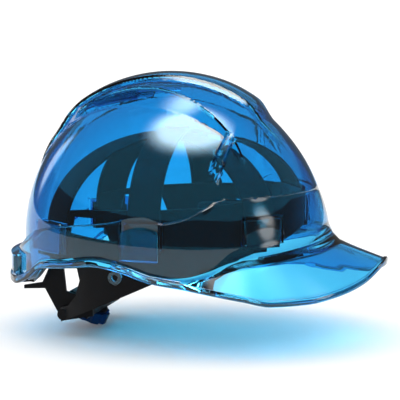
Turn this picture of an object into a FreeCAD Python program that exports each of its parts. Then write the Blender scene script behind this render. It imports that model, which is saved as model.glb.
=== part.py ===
"""A vented safety helmet: translucent shell, six-point cradle and ratchet headband.

Frame: millimetres, +X to the peak, +Y to the wearer's left, +Z up.  The origin is the centre of the
wearer's brow plane, level with the lower front edge of the headband.
"""
import FreeCAD
import Part
import math
import os

V = FreeCAD.Vector

# ---- overall sizes -------------------------------------------------------------------------------
dome_length = 231.0        # outside, front to back, above the rim
dome_width = 197.0         # outside, ear to ear, above the rim
dome_rise = 119.0          # crown above the dome's widest level
crown_level = 106.0        # plain dome at the crown, above the brow plane
dome_lean = 3.5            # how far back the crown stands from the middle of the rim
wall = 2.6                 # shell wall

# ---- shell details -------------------------------------------------------------------------------
deck_height = 5.0          # raised deck between the side ridges
spine_height = 3.0         # centre spine above the deck
spine_half_width = 15.0
deck_front = 58.0          # where the ridges turn down into the ribs
deck_rear = -92.0          # where the deck runs out at the back
rib_height = 4.0
rib_width = 7.0
rib_drop = 33.0            # how far out from the deck's corner the rib reaches, seen from above
skirt_step = 5.0           # how far the skirt stands proud of the dome
lip_thickness = 2.8        # turned edge all round
lip_height = 4.6
gutter_wall = 6.0          # upright lip of the rear gutter
pocket_length = 28.0       # accessory pocket in each side of the skirt
pocket_gap = 4.3
pocket_skin = 2.0          # skirt left outside the pocket
pocket_floor = -14.0
vent_length = 58.0
vent_height = 4.5
vent_middle = -32.0
block_width = 84.0         # raised block on the back of the skirt
block_height = 12.5
block_proud = 6.0
block_base = -34.0
embed = 1.5                # how far added ridges sink into the wall

# ---- cradle --------------------------------------------------------------------------------------
KEYS = {38.0: -4.0, 90.0: -6.0, 138.0: -14.0}   # strap keys: angle from the front, base level of their sockets
socket_depth = 6.4
socket_slot = 2.6
socket_skin = 1.4          # socket wall on the inner side of the slot
key_width = 27.0
key_height = 21.0
key_plate = 2.4
key_reach = 9.4            # inner face of the key, in from the shell
cradle_gap = 33.0          # crown clearance between shell and cradle
strap_width = 24.0
strap_thickness = 1.8
layer_gap = 0.4
button_radius = 9.0
fit = 0.3                  # clearance between parts that don't touch

# ---- headband ------------------------------------------------------------------------------------
band_front = 97.0          # half length of the headband's oval, outside
band_half_width = 80.0
band_thickness = 2.4
band_end = -76.0           # where the side arms end
band_corner = -70.5        # level of the side arms' lowest corner
sweat_thickness = 4.0
sweat_height = 24.0
stud_radius = 2.5
stud_head = 1.4            # thickness of a stud's head

# ---- nape ratchet --------------------------------------------------------------------------------
nape_tilt = 65.0           # knob axis below the horizontal, degrees
nape_x = -65.0             # centre of the nape plate's inner face
nape_z = -57.0
plate_height = 25.0
plate_thickness = 2.2
riser_thickness = 2.4
rack_height = 18.4
rack_thickness = 1.8
rack_travel = 12.0
pinion_root = 4.3
pinion_tip = 5.9
pinion_teeth = 12
rack_tooth = 1.1           # width of a rack tooth at its tip
shaft_radius = 2.6
screw_radius = 1.3
knob_radius = 17.0
knob_height = 9.0
knob_lobes = 8
housing_wall = 1.6
detent_thickness = 1.2
pad_thickness = 5.0

a_dome = dome_length / 2.0
b_dome = dome_width / 2.0
dome_base = crown_level - dome_rise

# Edge of the shell by angle from the front: overhang beyond the dome, level of the edge's underside,
# level of the foot of the wall, and the share of skirt_step that stands there.
EDGE = [
    (0.0, 44.5, -24.0, -7.0, 0.0),
    (15.0, 41.2, -34.5, -7.5, 0.0),
    (24.0, 38.0, -39.5, -8.5, 0.0),
    (34.0, 33.0, -43.0, -10.0, 0.0),
    (44.0, 27.5, -43.5, -12.0, 0.0),
    (53.0, 21.5, -39.5, -15.5, 0.1),
    (62.0, 14.5, -36.0, -23.0, 0.6),
    (72.0, 9.0, -32.5, -26.5, 1.0),
    (84.0, 7.4, -29.0, -23.5, 1.0),
    (98.0, 7.2, -21.5, -16.0, 1.0),
    (108.0, 7.2, -19.0, -13.5, 1.0),
    (122.0, 7.2, -22.5, -17.0, 1.0),
    (137.0, 7.4, -26.5, -21.5, 1.0),
    (146.0, 8.5, -36.5, -32.5, 1.0),
    (155.0, 11.5, -42.5, -39.0, 1.0),
    (168.0, 12.0, -43.0, -39.5, 1.0),
    (180.0, 12.0, -43.0, -39.5, 1.0),
]
# Level of the skirt's top edge by angle from the front.
LEDGE = [(0.0, 30.0), (52.0, 30.0), (62.0, 24.0), (71.0, 17.0), (80.0, 14.0), (88.0, 18.0), (104.0, 12.5),
         (128.0, 6.5), (142.0, 1.0), (156.0, -12.0), (168.0, -19.0), (180.0, -20.0)]


# ---- curves and plates ---------------------------------------------------------------------------
def slope(x0, y0, x1, y1, x2, y2):
    """Slope at the middle of three points that never overshoots them."""
    before = (y1 - y0) / (x1 - x0)
    after = (y2 - y1) / (x2 - x1)
    if before * after <= 0:
        return 0.0
    return 2.0 * before * after / (before + after)


def along(table, column, angle):
    """Smooth value of one column of a table at an angle, the same on both sides of the helmet."""
    angle = abs((angle + 180.0) % 360.0 - 180.0)
    first = (-table[1][0],) + tuple(table[1][1:])
    last = (360.0 - table[-2][0],) + tuple(table[-2][1:])
    rows = [first] + list(table) + [last]
    for i in range(1, len(rows) - 2):
        if angle <= rows[i + 1][0]:
            break
    x0, x1, x2, x3 = (rows[i + k][0] for k in (-1, 0, 1, 2))
    y0, y1, y2, y3 = (rows[i + k][column] for k in (-1, 0, 1, 2))
    s1 = slope(x0, y0, x1, y1, x2, y2)
    s2 = slope(x1, y1, x2, y2, x3, y3)
    h = x2 - x1
    t = (angle - x1) / h
    rise = y1 * (1 + 2 * t) * (1 - t) ** 2 + s1 * h * t * (1 - t) ** 2
    return rise + y2 * t * t * (3 - 2 * t) + s2 * h * t * t * (t - 1)


def smooth(low, high, x):
    """Ease from 0 at low to 1 at high."""
    t = min(1.0, max(0.0, (x - low) / (high - low)))
    return t * t * (3.0 - 2.0 * t)


def polar(angle, r, z):
    return V(r * math.cos(math.radians(angle)), r * math.sin(math.radians(angle)), z)


def plan_radius(angle, a, b):
    """Radius of an ellipse with half axes a and b at an angle."""
    p = polar(angle, 1.0, 0.0)
    return 1.0 / math.hypot(p.x / a, p.y / b)


def curve(points):
    """Smooth open edge through points."""
    spline = Part.BSplineCurve()
    spline.interpolate(points)
    return spline.toShape()


def ring(make, count=48):
    """Closed smooth wire through the points that make(angle) gives."""
    spline = Part.BSplineCurve()
    spline.interpolate(Points=[make(360.0 * i / count) for i in range(count)], PeriodicFlag=True)
    return Part.Wire([spline.toShape()])


def solid_of(faces):
    shell = Part.Shell(faces)
    shell.sewShape()
    solid = Part.Solid(shell)
    if solid.Volume < 0:
        solid.reverse()
    return solid


def slab(upper, lower):
    """Closed plate between two grids of points with matching lengthwise rows."""
    faces = []
    top = [curve(row) for row in upper]
    low = [curve(row) for row in lower]
    for k in range(len(top) - 1):
        faces.append(Part.makeRuledSurface(top[k], top[k + 1]))
        faces.append(Part.makeRuledSurface(low[k], low[k + 1]))
        for end in (0, -1):
            a = Part.makeLine(upper[k][end], upper[k + 1][end])
            b = Part.makeLine(lower[k][end], lower[k + 1][end])
            faces.append(Part.makeRuledSurface(a, b))
    for side in (0, -1):
        faces.append(Part.makeRuledSurface(top[side], low[side]))
    return solid_of(faces)


def box(x0, x1, y0, y1, z0, z1):
    return Part.makeBox(x1 - x0, y1 - y0, z1 - z0, V(x0, y0, z0))


def cylinder(radius, z0, z1):
    return Part.makeCylinder(radius, z1 - z0, V(0, 0, z0))


def turned(shape, angle):
    copy = shape.copy()
    copy.rotate(V(0, 0, 0), V(0, 0, 1), angle)
    return copy


def mirrored(shape):
    """The same piece for the other side of the helmet."""
    return shape.mirror(V(0, 0, 0), V(0, 1, 0))


def fused(shapes):
    whole = shapes[0]
    for shape in shapes[1:]:
        whole = whole.fuse(shape)
    return whole.removeSplitter()


# ---- shell ---------------------------------------------------------------------------------------
def share_at(level, inset=0.0):
    """Share of the dome's profile at a level: 0 at the crown, 1 at the widest level."""
    high = min(1.0, max(0.0, (level - dome_base) / (dome_rise - inset)))
    return math.acos(high) * 2.0 / math.pi


def leaned(p):
    """A place on the upright shell, moved back by its share of the lean."""
    return V(p.x - dome_lean * max(0.0, p.z - dome_base) / dome_rise, p.y, p.z)


def dome_point(angle, share, inset):
    turn = share * math.pi / 2.0
    r = plan_radius(angle, a_dome - inset, b_dome - inset) * math.sin(turn)
    return leaned(polar(angle, r, dome_base + (dome_rise - inset) * math.cos(turn)))


def on_dome(x, y, height):
    """Point at a height along the dome's normal from a place given on the upright dome's outer face."""
    z = dome_rise * math.sqrt(max(0.001, 1.0 - (x / a_dome) ** 2 - (y / b_dome) ** 2))
    n = V(x / a_dome ** 2, y / b_dome ** 2, z / dome_rise ** 2)
    n.normalize()
    return leaned(V(x, y, z + dome_base)) + n * height


def edge_rows(angle):
    """Section of the shell's edge at an angle: outer rows from the ledge down, then inner rows back up."""
    under = along(EDGE, 2, angle)
    foot = along(EDGE, 3, angle)
    proud = skirt_step * along(EDGE, 4, angle) + 0.15
    ledge = along(LEDGE, 1, angle)
    r_dome = plan_radius(angle, a_dome, b_dome)
    r_ledge = r_dome * math.sin(share_at(ledge) * math.pi / 2.0)
    r_skirt = r_dome + proud
    r_edge = r_dome + along(EDGE, 1, angle)
    rear = smooth(140.0, 153.0, abs((angle + 180.0) % 360.0 - 180.0))
    lip_top = under + lip_height + (gutter_wall - lip_height) * rear
    floor = lip_top - 0.8 - (gutter_wall - wall - 0.8) * rear
    fillet = 0.16 * (r_edge - r_skirt) + 0.5
    drop = 0.16 * (foot - floor)
    soffit = max(min(floor, lip_top) - wall, under + 0.3)
    outer = [
        (r_ledge + proud, ledge - 0.8),
        (r_skirt, foot + fillet + 1.5),
        (r_skirt + 0.4 * fillet, foot + 0.3 * fillet),
        (r_skirt + fillet, foot - drop),
        (r_edge - lip_thickness, floor),
        (r_edge - lip_thickness + 0.2, lip_top),
        (r_edge, lip_top - 0.4),
        (r_edge, under),
        (r_edge - lip_thickness, under),
    ]
    inner = [
        (r_edge - lip_thickness - 0.3, soffit),
        (r_dome - wall + 0.8 + fillet, foot - drop - wall),
        (r_dome - wall, foot - wall - 1.0),
        (r_dome - wall, min(foot, dome_base) - 0.5),
    ]
    return outer, inner


def shell_blank():
    """Plain dome, skirt, peak, rim and gutter as one thin closed solid."""
    rows = 10
    outer = []
    inner = []
    for k in range(1, rows + 1):
        outer.append(ring(lambda t, k=k: dome_point(t, k / rows * share_at(along(LEDGE, 1, t)), 0.0)))
        inner.append(ring(lambda t, k=k: dome_point(t, k / rows, wall)))
    outer_count, inner_count = (len(part) for part in edge_rows(0.0))
    edge = [ring(lambda t, k=k: leaned(polar(t, *edge_rows(t)[0][k]))) for k in range(outer_count)]
    under = [ring(lambda t, k=k: leaned(polar(t, *edge_rows(t)[1][k]))) for k in range(inner_count)]
    top = Part.Vertex(dome_point(0.0, 0.0, 0.0))
    low = Part.Vertex(dome_point(0.0, 0.0, wall))
    faces = Part.makeLoft([top] + outer, False, False).Faces
    faces += Part.makeLoft([low] + inner, False, False).Faces
    faces += Part.makeLoft(edge[1:5], False, False).Faces
    sharp = [outer[-1]] + edge[:2]
    for first, second in zip(sharp, sharp[1:]):
        faces += Part.makeRuledSurface(first, second).Faces
    sharp = edge[4:] + under + [inner[-1]]
    for first, second in zip(sharp, sharp[1:]):
        faces += Part.makeRuledSurface(first, second).Faces
    return solid_of(faces)


def deck_edge(x):
    """Half width of the raised deck's top edge, which widens towards the front."""
    ahead = max(0.0, (x + 47.0) / 104.0)
    return 24.0 + 28.0 * ahead ** 1.6 - 14.0 * (1.0 - smooth(deck_rear, -47.0, x))


def deck_foot(x):
    """Half width of the foot of the ridge wall."""
    return max(52.0 - 37.0 * (abs(x - 44.0) / 135.0) ** 1.9, deck_edge(x) + 3.0)


def deck_rise(x):
    """Height of the deck above the dome: it runs out into the wall at both ends."""
    share = smooth(deck_rear, deck_rear + 30.0, x) * (1.0 - smooth(deck_front, deck_front + 16.0, x))
    return (deck_height + 0.8) * share - 0.8


def spine_rise(x):
    """Height of the spine above the deck."""
    share = smooth(-106.0, -88.0, x) * (1.0 - smooth(30.0, 98.0, x))
    return (spine_height + 0.4) * share - 0.4


def deck_slab(drop, inset, depth):
    """Raised deck with a sloping wall along each side, from depth inside the dome up to its top."""
    length = deck_front + 20.0 - deck_rear
    places = [deck_rear + length * i / 24.0 for i in range(25)]
    upper = []
    lower = []
    for share in (-2.0, -1.0, -0.6, -0.2, 0.2, 0.6, 1.0, 2.0):
        up = []
        low = []
        for x in places:
            half = (deck_edge(x) if abs(share) <= 1.0 else deck_foot(x)) - inset
            y = half * max(-1.0, min(1.0, share))
            height = deck_rise(x) if abs(share) <= 1.0 else -0.8
            up.append(on_dome(x, y, height - drop))
            low.append(on_dome(x, y, -depth))
        upper.append(up)
        lower.append(low)
    return slab(upper, lower)


def spine_slab(drop, inset, depth):
    """Centre spine, from low on the back over the crown and down the front."""
    places = [-104.0 + 200.0 * i / 32.0 for i in range(33)]
    upper = []
    lower = []
    for share in (-1.25, -1.0, -0.5, 0.0, 0.5, 1.0, 1.25):
        up = []
        low = []
        for x in places:
            y = (spine_half_width - inset) * share
            height = deck_rise(x) + (spine_rise(x) if abs(share) <= 1.0 else -0.4)
            up.append(on_dome(x, y, height - drop))
            low.append(on_dome(x, y, -depth))
        upper.append(up)
        lower.append(low)
    return slab(upper, lower)


def rib_slab():
    """Right-hand rib that runs down from the front corner of the deck and fades out."""
    upper = []
    lower = []
    corner = deck_edge(deck_front) - 3.0
    for across in (-1.0, -0.5, 0.5, 1.0):
        up = []
        low = []
        for i in range(11):
            s = i / 10.0
            x = deck_front - 1.0 - 9.0 * s + across * rib_width / 2.0
            y = -corner - rib_drop * s
            height = (rib_height + 0.8) * (1.0 - smooth(0.45, 1.0, s)) - 0.8
            up.append(on_dome(x, y, height if abs(across) < 1.0 else -0.8))
            low.append(on_dome(x, y, -embed))
        upper.append(up)
        lower.append(low)
    return slab(upper, lower)


def key_place(angle):
    """Point on the shell's inner face at a strap key, and the direction in which the face looks out."""
    a = a_dome - wall
    b = b_dome - wall
    p = polar(angle, plan_radius(angle, a, b), 0.0)
    return p, math.degrees(math.atan2(p.y / b ** 2, p.x / a ** 2))


def key_sides(shape, angle):
    """A piece drawn with the wall's inner face at X = 0, placed at a key on the left and on the right."""
    p, facing = key_place(angle)
    left = turned(shape, facing)
    left.translate(p)
    return [left, mirrored(left)]


def socket_block(angle):
    half = key_width / 2.0 + 2.5
    return box(-socket_depth, 0.4, -half, half, KEYS[angle], KEYS[angle] + key_height)


def socket_cut(angle):
    inner = socket_skin - socket_depth
    half = key_width / 2.0 + fit
    return box(inner, inner + socket_slot, -half, half, KEYS[angle] - 1.0, KEYS[angle] + key_height - 2.4)


def strap_key(angle):
    """U-shaped key: a tab up into the socket, a foot below it and a plate that holds the strap."""
    z = KEYS[angle]
    half = key_width / 2.0
    back = socket_skin - socket_depth + socket_slot - fit
    tab = box(back - socket_slot + 2 * fit, back, -half, half, z - 3.4, z + key_height - 3.6)
    foot = box(-key_reach, back, -half, half, z - 3.4, z - 0.4)
    plate = box(-key_reach, key_plate - key_reach, -half, half, z - 3.4, z + key_height - 5.0)
    hole = Part.makeCylinder(2.6, 2 * key_plate, V(-key_reach - 1.0, 0, z + 6.0), V(1, 0, 0))
    return fused([tab, foot, plate]).cut(hole)


def oval_prism(a, b, low, high):
    ellipse = Part.Ellipse(V(0, 0, low), a, b).toShape()
    return Part.Face(Part.Wire([ellipse])).extrude(V(0, 0, high - low))


def rear_block():
    """Raised block that follows the back of the skirt."""
    top = block_base + block_height
    half = block_width / 2.0
    proud = skirt_step + block_proud
    block = oval_prism(a_dome + proud, b_dome + proud, block_base, top)
    block = block.common(box(-2 * a_dome, -0.5 * a_dome, -half, half, block_base, top))
    return block.cut(oval_prism(a_dome - 1.0, b_dome - 1.0, block_base - 1.0, top + 1.0))


def vent_slot():
    """Slot through the wall of the right-hand ridge."""
    y = -0.5 * (deck_edge(vent_middle) + deck_foot(vent_middle))
    p = on_dome(vent_middle, y, 0.5 * deck_height)
    half = vent_length / 2.0
    slot = box(-half, half, -9.0, 9.0, -vent_height / 2.0, vent_height / 2.0)
    slot.rotate(V(0, 0, 0), V(1, 0, 0), -20.0)
    slot.rotate(V(0, 0, 0), V(0, 1, 0), -14.0)
    slot.rotate(V(0, 0, 0), V(0, 0, 1), -9.0)
    slot.translate(p)
    return slot


def side_pocket():
    """Accessory pocket that opens upwards in the right-hand ledge."""
    half = pocket_length / 2.0
    outer = pocket_skin - b_dome - skirt_step
    return box(-half, half, outer, outer + pocket_gap, pocket_floor, 40.0)


def make_shell():
    shell = shell_blank().fuse(rear_block())
    slots = []
    for angle in KEYS:
        for block in key_sides(socket_block(angle), angle):
            shell = shell.fuse(block)
        slots += key_sides(socket_cut(angle), angle)
    rib = rib_slab()
    shell = shell.multiFuse([deck_slab(0.0, 0.0, embed), spine_slab(0.0, 0.0, embed), rib, mirrored(rib)])
    hollows = [deck_slab(wall, wall, wall + embed), spine_slab(wall, 0.6 * wall, wall + embed)]
    vent = vent_slot()
    pocket = side_pocket()
    return shell.cut(hollows).cut(slots + [vent, mirrored(vent), pocket, mirrored(pocket)])


def strap_anchor():
    """Ring under the right-hand rim for a chin strap, on a stem that is pressed into the skirt."""
    x = -19.0
    y = -b_dome + 2.0
    top = along(EDGE, 2, 100.0)
    ring_z = round(top - 6.0, 1)
    outer = Part.makeCylinder(5.0, 2.6, V(x, y - 1.3, ring_z), V(0, 1, 0))
    bore = Part.makeCylinder(2.4, 4.0, V(x, y - 2.0, ring_z), V(0, 1, 0))
    stem = box(x - 2.0, x + 2.0, y - 1.3, y + 1.3, ring_z + 3.0, top + 6.0)
    return fused([outer, stem]).cut(bore)


# ---- cradle --------------------------------------------------------------------------------------
def strap_arm(angle, layer):
    """Centre line of one strap arm from its key up to the crown."""
    z0 = KEYS[abs(angle)] + key_height - 5.0 + 0.05
    z1 = crown_level - wall - cradle_gap - layer * (strap_thickness + layer_gap)
    p, facing = key_place(angle)
    start = p - polar(facing, key_reach - key_plate / 2.0, 0.0)
    points = []
    for i in range(13):
        t = math.pi / 2.0 * i / 12.0
        points.append(start * (math.cos(t) ** 0.92) + V(0, 0, z0 + (z1 - z0) * math.sin(t)))
    return points


def strap(left, right, layer):
    """One strap over the crown between two keys, given by their angles."""
    first = strap_arm_at(left, layer)
    second = strap_arm_at(right, layer)
    line = first + list(reversed(second))[1:]
    first_facing = math.copysign(1.0, left) * key_place(abs(left))[1]
    last_facing = math.copysign(1.0, right) * key_place(abs(right))[1]
    start = polar(first_facing - 90.0, 1.0, 0.0)
    end = polar(last_facing + 90.0, 1.0, 0.0)
    upper = [[], []]
    lower = [[], []]
    for i, p in enumerate(line):
        turn = smooth(0.3, 0.7, i / (len(line) - 1))
        across = start * (1.0 - turn) + end * turn
        across.normalize()
        ahead = line[min(i + 1, len(line) - 1)] - line[max(i - 1, 0)]
        out = across.cross(ahead)
        out.normalize()
        for k, side in enumerate((-1, 1)):
            edge = p + across * (side * strap_width / 2.0)
            upper[k].append(edge + out * (strap_thickness / 2.0))
            lower[k].append(edge - out * (strap_thickness / 2.0))
    return slab(upper, lower)


def strap_arm_at(angle, layer):
    """A strap arm on either side: negative angles are on the right."""
    points = strap_arm(abs(angle), layer)
    return [V(p.x, math.copysign(1.0, angle) * p.y, p.z) for p in points]


def crown_button():
    """Rivet that holds the three straps together at the crown."""
    top = crown_level - wall - cradle_gap + strap_thickness / 2.0
    low = top - 3 * strap_thickness - 2 * layer_gap
    head = cylinder(button_radius, top + 0.1, top + 1.7)
    foot = cylinder(button_radius, low - 1.7, low - 0.1)
    return fused([head, foot, cylinder(3.0, low - 1.0, top + 1.0)])


# ---- headband ------------------------------------------------------------------------------------
def side_plate(points, y0, y1):
    """Plate with an outline drawn in the side view, between two Y levels."""
    corners = [V(x, y0, z) for x, z in points]
    return Part.Face(Part.makePolygon(corners + [corners[0]])).extrude(V(0, y1 - y0, 0))


def band_cut(points):
    return side_plate(points, -2 * band_half_width, 2 * band_half_width)


def make_headband():
    outer = oval_prism(band_front, band_half_width, -90.0, 60.0)
    inner = oval_prism(band_front - band_thickness, band_half_width - band_thickness, -91.0, 61.0)
    outline = [(band_front + 10.0, 1.5), (band_front, 1.5), (89.0, -7.0), (80.0, -13.5), (66.0, -19.5),
               (4.0, -33.5), (band_end, band_corner), (band_end, -60.0), (-68.0, -57.0), (-60.0, -48.0),
               (-56.0, -36.0), (-60.0, -22.0), (band_end, -14.0), (band_end, 13.0), (-50.0, 17.0),
               (0.0, 20.0), (40.0, 22.0), (80.0, 28.0), (band_front + 10.0, 28.5)]
    band = outer.cut(inner).common(band_cut(outline))
    return band.cut(band_cut([(-63.0, -2.0), (-28.0, -4.0), (-34.0, 12.0), (-60.0, 11.0)]))


def make_sweatband():
    gap = 0.2
    a = band_front - band_thickness - gap
    b = band_half_width - band_thickness - gap
    pad = oval_prism(a, b, 3.0, 3.0 + sweat_height)
    pad = pad.cut(oval_prism(a - sweat_thickness, b - sweat_thickness, 0.0, 40.0))
    return pad.common(band_cut([(30.0, 3.0), (150.0, 3.0), (150.0, 40.0), (38.0, 40.0)]))


def hanger(angle):
    """Arm from the foot of a key in to the headband."""
    z = KEYS[angle] - 3.4
    arm = box(-key_reach - 40.0, key_plate - key_reach, -6.0, 6.0, z - 5.0, z - 0.1)
    band = oval_prism(band_front + 0.05, band_half_width + 0.05, -90.0, 60.0)
    return [side.cut(band) for side in key_sides(arm, angle)]


# ---- nape ratchet --------------------------------------------------------------------------------
tilt = math.radians(nape_tilt)
plate_up = V(-math.sin(tilt), 0, math.cos(tilt))
axis_out = V(-math.cos(tilt), 0, -math.sin(tilt))
riser_y = band_half_width * math.sqrt(1.0 - (band_end / band_front) ** 2) - band_thickness - 1.4
rack_low = (plate_thickness + fit, plate_thickness + fit + rack_thickness)
rack_high = (rack_low[1] + fit, rack_low[1] + fit + rack_thickness)
housing_top = rack_high[1] + fit + housing_wall
slot_half = pinion_tip + 0.35
rack_half = riser_y - riser_thickness - stud_head - 2 * fit
pitch = 2.0 * math.pi * 0.5 * (pinion_root + pinion_tip + 0.1) / pinion_teeth


def nape(shape):
    """Carry a piece drawn flat (x up the plate, y across, z outwards) to the nape."""
    turn = FreeCAD.Rotation(plate_up, V(0, 1, 0), axis_out, "ZXY")
    placed = shape.copy()
    placed.Placement = FreeCAD.Placement(V(nape_x, 0, nape_z), turn).multiply(placed.Placement)
    return placed


def make_yoke():
    """Cross plate of the nape with a riser at each end that hooks under the rear rim."""
    outline = [(band_end, band_corner), (-89.5, -46.5), (-106.0, -47.5), (-106.0, -44.8), (-91.5, -42.0),
               (-86.0, -30.0), (-75.0, -30.0), (-73.0, -48.0), (-52.0, -54.0), (-52.0, -66.0)]
    riser = side_plate(outline, -riser_y, -riser_y + riser_thickness)
    half = plate_height / 2.0
    plate = box(-half, half, -riser_y + 1.0, riser_y - 1.0, 0.0, plate_thickness)
    bore = cylinder(screw_radius + 1.6, -1.0, plate_thickness + 1.0)
    return fused([nape(plate), riser, mirrored(riser)]).cut(nape(bore))


def make_studs():
    """Rivets that pin the side arms of the headband to the risers."""
    y = riser_y - riser_thickness
    z = -64.0
    x = band_end + 3.4
    reach = band_thickness + riser_thickness + 6.0
    stem = Part.makeCylinder(stud_radius, reach, V(x, -y + 0.5, z), V(0, -1, 0))
    head = Part.makeCylinder(stud_radius + 1.8, stud_head, V(x, -y + stud_head + 0.05, z), V(0, -1, 0))
    cap = Part.makeCylinder(stud_radius + 1.8, stud_head, V(x, -y + 0.5 - reach, z), V(0, -1, 0))
    return fused([stem, head, cap])


def rack(side):
    """Toothed end of the headband: a slot with teeth along one of its edges."""
    low, high = rack_low if side < 0 else rack_high
    half = rack_height / 2.0
    inner = slot_half + rack_travel + 3.0
    plate = box(-half, half, -inner - 2.5, rack_half - rack_travel, low, high)
    slot = box(-slot_half, slot_half, -inner, inner, low - 1.0, high + 1.0)
    teeth = []
    reach = 0.5 * (pinion_root + pinion_tip) + 0.15
    count = int(inner / pitch) - 1
    for k in range(-count, count + 1):
        y = (k + 0.5) * pitch
        tip = rack_tooth / 2.0
        root = rack_tooth / 2.0 + 0.45
        corners = [V(reach, y - tip, low), V(reach, y + tip, low), V(slot_half + 0.5, y + root, low),
                   V(slot_half + 0.5, y - root, low), V(reach, y - tip, low)]
        teeth.append(Part.Face(Part.makePolygon(corners)).extrude(V(0, 0, high - low)))
    shape = fused([plate.cut(slot)] + teeth)
    if side > 0:
        shape.rotate(V(0, 0, 0), V(0, 0, 1), 180.0)
    return shape


def make_pinion():
    low = plate_thickness + fit / 2.0
    high = rack_high[1] + fit / 2.0
    gear = cylinder(pinion_root, low, high)
    for k in range(pinion_teeth):
        tip = 0.45
        root = 0.85
        corners = [V(pinion_root - 0.4, -root, low), V(pinion_tip, -tip, low), V(pinion_tip, tip, low),
                   V(pinion_root - 0.4, root, low), V(pinion_root - 0.4, -root, low)]
        tooth = Part.Face(Part.makePolygon(corners)).extrude(V(0, 0, high - low))
        tooth.rotate(V(0, 0, 0), V(0, 0, 1), 360.0 * k / pinion_teeth)
        gear = gear.fuse(tooth)
    shaft = cylinder(shaft_radius, high - 0.5, housing_top + detent_thickness + 4.0)
    bore = cylinder(screw_radius, low - 1.0, housing_top + 20.0)
    return gear.fuse(shaft).removeSplitter().cut(bore)


def make_housing():
    """Sleeve over the racks."""
    half = rack_height / 2.0 + fit
    length = rack_half
    cover = box(-half - housing_wall, half + housing_wall, -length, length, plate_thickness, housing_top)
    room = box(-half, half, -length - 1.0, length + 1.0, plate_thickness - 1.0, housing_top - housing_wall)
    seat = cylinder(knob_radius - 3.0, housing_top - 0.5, housing_top + detent_thickness + fit)
    well = cylinder(knob_radius - 4.4, housing_top, housing_top + 10.0)
    bore = cylinder(shaft_radius + 0.1, 0.0, housing_top + 10.0)
    return cover.cut(room).fuse(seat).cut(well).cut(bore)


def make_detent():
    """Spring ring with two pawls that click against the knob."""
    low = housing_top + 0.05
    ring_shape = cylinder(knob_radius - 4.7, low, low + detent_thickness)
    ring_shape = ring_shape.cut(cylinder(knob_radius - 7.2, low - 1.0, low + 5.0))
    ring_shape = ring_shape.cut(box(-1.5, 1.5, 0.0, knob_radius, low - 1.0, low + 5.0))
    return ring_shape


def make_knob():
    low = housing_top + detent_thickness + 2 * fit
    knob = cylinder(knob_radius, low, low + knob_height)
    for k in range(knob_lobes):
        angle = 360.0 * (k + 0.5) / knob_lobes
        p = polar(angle, knob_radius + 3.6, low - 1.0)
        knob = knob.cut(Part.makeCylinder(5.0, knob_height + 2.0, p))
    rims = [e for e in knob.Edges if abs(e.CenterOfMass.z - low - knob_height) < 0.01]
    knob = knob.makeFillet(1.4, rims)
    well = cylinder(5.0, low + knob_height - 2.6, low + knob_height + 1.0)
    bore = cylinder(shaft_radius, low - 1.0, housing_top + detent_thickness + 4.0)
    hole = cylinder(screw_radius, low - 1.0, low + knob_height)
    return knob.cut(well).cut(bore).cut(hole)


def make_knob_screw():
    low = housing_top + detent_thickness + 2 * fit + knob_height - 2.6
    head = cylinder(3.2, low, low + 1.8)
    cross = box(-2.2, 2.2, -0.4, 0.4, low + 0.9, low + 3.0)
    stem = cylinder(screw_radius, 1.0, low + 0.5)
    cross = cross.fuse(turned(cross, 90.0))
    return head.fuse(stem).cut(cross)


def make_nape_pad():
    half = plate_height / 2.0 - 1.0
    length = rack_half - 4.0
    pad = box(-half, half, -length, length, -pad_thickness, -0.1)
    return pad.makeFillet(2.0, [e for e in pad.Edges if abs(e.CenterOfMass.z + pad_thickness) < 0.01])


# ---- nodes ---------------------------------------------------------------------------------------
def make_nodes():
    nodes = {"shell": make_shell(), "headband": make_headband(), "brow_sweatband": make_sweatband()}
    names = {38.0: "front", 90.0: "side", 138.0: "rear"}
    for angle in KEYS:
        left, right = key_sides(strap_key(angle), angle)
        nodes["strap_key_%s_left" % names[angle]] = left
        nodes["strap_key_%s_right" % names[angle]] = right
        if names[angle] != "side":
            left, right = hanger(angle)
            nodes["band_hanger_%s_left" % names[angle]] = left
            nodes["band_hanger_%s_right" % names[angle]] = right
    front, side, rear = sorted(KEYS)
    nodes["cradle_strap_side"] = strap(side, -side, 0)
    nodes["cradle_strap_left_front"] = strap(front, -rear, 1)
    nodes["cradle_strap_right_front"] = strap(-front, rear, 2)
    nodes["crown_button"] = crown_button()
    anchor = strap_anchor()
    nodes["chinstrap_anchor_right"] = anchor
    nodes["chinstrap_anchor_left"] = mirrored(anchor)
    studs = make_studs()
    nodes["nape_yoke"] = make_yoke().cut(studs).cut(mirrored(studs))
    nodes["headband"] = nodes["headband"].cut(studs).cut(mirrored(studs))
    nodes["yoke_studs"] = Part.makeCompound([studs, mirrored(studs)])
    nodes["ratchet_rack_left"] = nape(rack(-1))
    nodes["ratchet_rack_right"] = nape(rack(1))
    nodes["ratchet_pinion"] = nape(make_pinion())
    nodes["ratchet_housing"] = nape(make_housing())
    nodes["detent_ring"] = nape(make_detent())
    nodes["ratchet_knob"] = nape(make_knob())
    nodes["knob_screw"] = nape(make_knob_screw())
    nodes["nape_pad"] = nape(make_nape_pad())
    nodes["shell"] = nodes["shell"].cut(anchor).cut(mirrored(anchor))
    for name in list(nodes):
        if name.startswith("cradle_strap"):
            nodes[name] = nodes[name].cut(nodes["crown_button"])
    return nodes


def main():
    os.makedirs("parts", exist_ok=True)
    for name, shape in make_nodes().items():
        shape.exportStep("parts/%s.step" % name)
        print(name, shape.isValid(), len(shape.Solids), round(shape.Volume, 1))


if __name__ == "__main__":
    main()
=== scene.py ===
"""Looks of a vented safety helmet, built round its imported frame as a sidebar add-on."""

import math

import bmesh
import bpy
from mathutils import Matrix, Vector


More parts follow.
